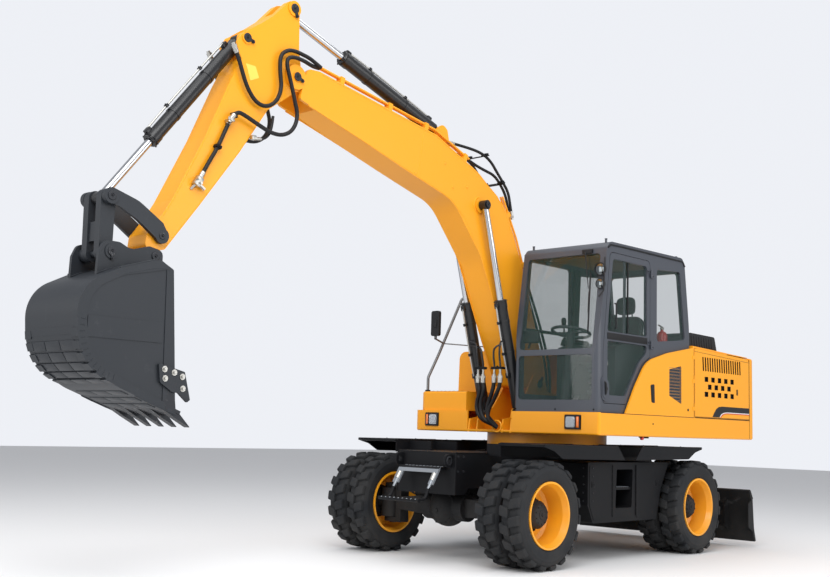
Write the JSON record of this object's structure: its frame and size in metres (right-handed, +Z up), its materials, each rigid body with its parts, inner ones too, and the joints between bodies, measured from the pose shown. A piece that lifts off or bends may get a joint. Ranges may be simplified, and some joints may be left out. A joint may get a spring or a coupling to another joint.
{
  "type": "wheeled excavator",
  "caption": "Wheeled excavator with a slewing upper structure, cab, boom, arm and toothed bucket on a two-axle carrier with twin tyres and a rear blade.",
  "frame": {"origin": "on the ground at the middle of the whole machine's length and width", "axes": "+X towards the boom's reach and the steered axle, +Y to the cab side, +Z up"},
  "size_m": [8.4348, 2.488, 5.008],
  "materials": {
    "body_yellow": "gloss paint",
    "cab_grey": "satin paint",
    "frame_black": "satin paint",
    "bucket_slate": "satin paint",
    "rim_yellow": "gloss paint",
    "tyre_black": "matt rubber",
    "cylinder_black": "gloss paint",
    "rod_chrome": "ground and polished",
    "glass_green": "tinted",
    "seat_black": "woven",
    "plastic_grey": "grained",
    "engine_dark": "painted casting",
    "lamp_clear": "clear lens",
    "intake_black": "textured"
  },
  "bodies": {
    "carrier": {"chassis_frame": "frame_black", "side_boxes": "frame_black", "axles": "frame_black"},
    "knuckle_left": {"knuckle_left": "frame_black"},
    "knuckle_right": {"knuckle_right": "frame_black"},
    "blade": {"blade": "frame_black"},
    "blade_tubes": {"blade_cylinder_tubes": "cylinder_black"},
    "blade_rods": {"blade_cylinder_rods": "rod_chrome"},
    "upper": {"upper_frame": "body_yellow", "counterweight": "body_yellow", "engine": "engine_dark", "body_panels": "body_yellow", "intake_box": "intake_black", "deck_boxes": "body_yellow", "handrail": "cab_grey", "front_lamps": "lamp_clear", "cab_frame": "cab_grey", "cab_roof": "cab_grey", "cab_glass": "glass_green", "seat": "seat_black", "controls": "plastic_grey"},
    "cab_door": {"cab_door": "cab_grey", "cab_door_glass": "glass_green"},
    "engine_door_left": {"engine_door_left": "body_yellow"},
    "engine_door_right": {"engine_door_right": "body_yellow"},
    "hood_lid": {"hood_lid": "body_yellow"},
    "boom": {"boom": "body_yellow"},
    "boom_tubes": {"boom_cylinder_tubes": "cylinder_black"},
    "boom_rods": {"boom_cylinder_rods": "rod_chrome"},
    "arm": {"arm": "body_yellow"},
    "arm_tube": {"arm_cylinder_tube": "cylinder_black"},
    "arm_rod": {"arm_cylinder_rod": "rod_chrome"},
    "bucket_tube": {"bucket_cylinder_tube": "cylinder_black"},
    "bucket_rod": {"bucket_cylinder_rod": "rod_chrome"},
    "side_links": {"side_links": "bucket_slate"},
    "bucket_link": {"bucket_link": "bucket_slate"},
    "bucket": {"bucket": "bucket_slate"},
    "wheel_front_left": {"tyres_front_left": "tyre_black", "rims_front_left": "rim_yellow"},
    "wheel_front_right": {"tyres_front_right": "tyre_black", "rims_front_right": "rim_yellow"},
    "wheel_rear_left": {"tyres_rear_left": "tyre_black", "rims_rear_left": "rim_yellow"},
    "wheel_rear_right": {"tyres_rear_right": "tyre_black", "rims_rear_right": "rim_yellow"}
  },
  "joints": [
    {"name": "steer_left", "type": "hinge", "parent": "carrier", "child": "knuckle_left", "pos_m": [-0.0974, 0.8, 0.5], "axis": [0, 0, 1], "range_deg": [-28, 28]},
    {"name": "steer_right", "type": "hinge", "parent": "carrier", "child": "knuckle_right", "pos_m": [-0.0974, -0.8, 0.5], "axis": [0, 0, 1], "range_deg": [-28.5, 28.5]},
    {"name": "roll_front_left", "type": "hinge", "parent": "knuckle_left", "child": "wheel_front_left", "pos_m": [-0.0974, 1.124, 0.5], "axis": [0, 1, 0], "continuous": true},
    {"name": "roll_front_right", "type": "hinge", "parent": "knuckle_right", "child": "wheel_front_right", "pos_m": [-0.0974, -1.124, 0.5], "axis": [0, 1, 0], "continuous": true},
    {"name": "roll_rear_left", "type": "hinge", "parent": "carrier", "child": "wheel_rear_left", "pos_m": [-2.8174, 1.124, 0.5], "axis": [0, 1, 0], "continuous": true},
    {"name": "roll_rear_right", "type": "hinge", "parent": "carrier", "child": "wheel_rear_right", "pos_m": [-2.8174, -1.124, 0.5], "axis": [0, 1, 0], "continuous": true},
    {"name": "slew", "type": "hinge", "parent": "carrier", "child": "upper", "pos_m": [-1.6974, 0, 1.2], "axis": [0, 0, 1], "continuous": true},
    {"name": "blade_lift", "type": "hinge", "parent": "carrier", "child": "blade", "pos_m": [-3.1574, 0, 0.56], "axis": [0, 1, 0], "range_deg": [-3.8, 22]},
    {"name": "blade_cylinder_swing", "type": "hinge", "parent": "carrier", "child": "blade_tubes", "pos_m": [-3.3574, 0, 0.85], "axis": [0, 1, 0], "range_deg": [-5.13, 24.9]},
    {"name": "blade_rod_travel", "type": "slide", "parent": "blade_tubes", "child": "blade_rods", "axis": [-0.8148, 0, -0.5798], "range_m": [-0.13723, 0.02701]},
    {"name": "boom_lift", "type": "hinge", "parent": "upper", "child": "boom", "pos_m": [-1.4974, 0, 1.78], "axis": [0, -1, 0], "range_deg": [-55, 18]},
    {"name": "boom_cylinder_swing", "type": "hinge", "parent": "upper", "child": "boom_tubes", "pos_m": [-1.0874, 0, 1.455], "axis": [0, -1, 0], "range_deg": [-55.63, 18.88]},
    {"name": "boom_rod_travel", "type": "slide", "parent": "boom_tubes", "child": "boom_rods", "axis": [0.2863, 0, 0.9581], "range_m": [-0.4901, 0.16309]},
    {"name": "arm_swing", "type": "hinge", "parent": "boom", "child": "arm", "pos_m": [2.1036, 0, 4.312], "axis": [0, 1, 0], "range_deg": [-40, 60]},
    {"name": "arm_cylinder_swing", "type": "hinge", "parent": "boom", "child": "arm_tube", "pos_m": [0.0826, 0, 4.275], "axis": [0, 1, 0], "range_deg": [-6.42, 9.13]},
    {"name": "arm_rod_travel", "type": "slide", "parent": "arm_tube", "child": "arm_rod", "axis": [0.9518, 0, 0.3068], "range_m": [-0.35308, 0.52762]},
    {"name": "bucket_curl", "type": "hinge", "parent": "arm", "child": "bucket", "pos_m": [3.4856, 0, 2.512], "axis": [0, 1, 0], "range_deg": [-75, 75]},
    {"name": "bucket_cylinder_swing", "type": "hinge", "parent": "arm", "child": "bucket_tube", "pos_m": [2.6476, 0, 4.525], "axis": [0, 1, 0], "range_deg": [-1.1, 1.1]},
    {"name": "bucket_rod_travel", "type": "slide", "parent": "bucket_tube", "child": "bucket_rod", "axis": [0.6107, 0, -0.7919], "range_m": [-0.51193, 0.51193]},
    {"name": "side_link_swing", "type": "hinge", "parent": "arm", "child": "side_links", "pos_m": [3.4056, 0, 2.69], "axis": [0, 1, 0], "range_deg": [-63.69, 63.69]},
    {"name": "bucket_link_swing", "type": "hinge", "parent": "bucket", "child": "bucket_link", "pos_m": [3.8726, 0, 2.5], "axis": [0, 1, 0], "range_deg": [-36.17, 36.17]},
    {"name": "cab_door_swing", "type": "hinge", "parent": "upper", "child": "cab_door", "pos_m": [-1.8474, 1.221, 2], "axis": [0, 0, 1], "range_deg": [0, 95]},
    {"name": "engine_door_left_swing", "type": "hinge", "parent": "upper", "child": "engine_door_left", "pos_m": [-2.7204, 1.236, 1.8], "axis": [0, 0, -1], "range_deg": [0, 85]},
    {"name": "engine_door_right_swing", "type": "hinge", "parent": "upper", "child": "engine_door_right", "pos_m": [-2.7204, -1.236, 1.8], "axis": [0, 0, 1], "range_deg": [0, 85]},
    {"name": "hood_lid_lift", "type": "hinge", "parent": "upper", "child": "hood_lid", "pos_m": [-3.5004, 0, 2.225], "axis": [0, 1, 0], "range_deg": [0, 60]}
  ],
  "couplings": [
    {"joint": "steer_right", "follows": "steer_left", "ratio": 1},
    {"joint": "blade_cylinder_swing", "follows": "blade_lift", "ratio": 1.0862},
    {"joint": "blade_rod_travel", "follows": "blade_lift", "m_per_rad": -0.34699},
    {"joint": "boom_cylinder_swing", "follows": "boom_lift", "ratio": 0.99326},
    {"joint": "boom_rod_travel", "follows": "boom_lift", "m_per_rad": 0.50639},
    {"joint": "arm_cylinder_swing", "follows": "arm_swing", "ratio": 0.13558},
    {"joint": "arm_rod_travel", "follows": "arm_swing", "m_per_rad": 0.50002},
    {"joint": "bucket_cylinder_swing", "follows": "bucket_curl", "ratio": 0.001404},
    {"joint": "bucket_rod_travel", "follows": "bucket_curl", "m_per_rad": 0.38803},
    {"joint": "side_link_swing", "follows": "bucket_curl", "ratio": 0.8358},
    {"joint": "bucket_link_swing", "follows": "bucket_curl", "ratio": -0.46898}
  ]
}
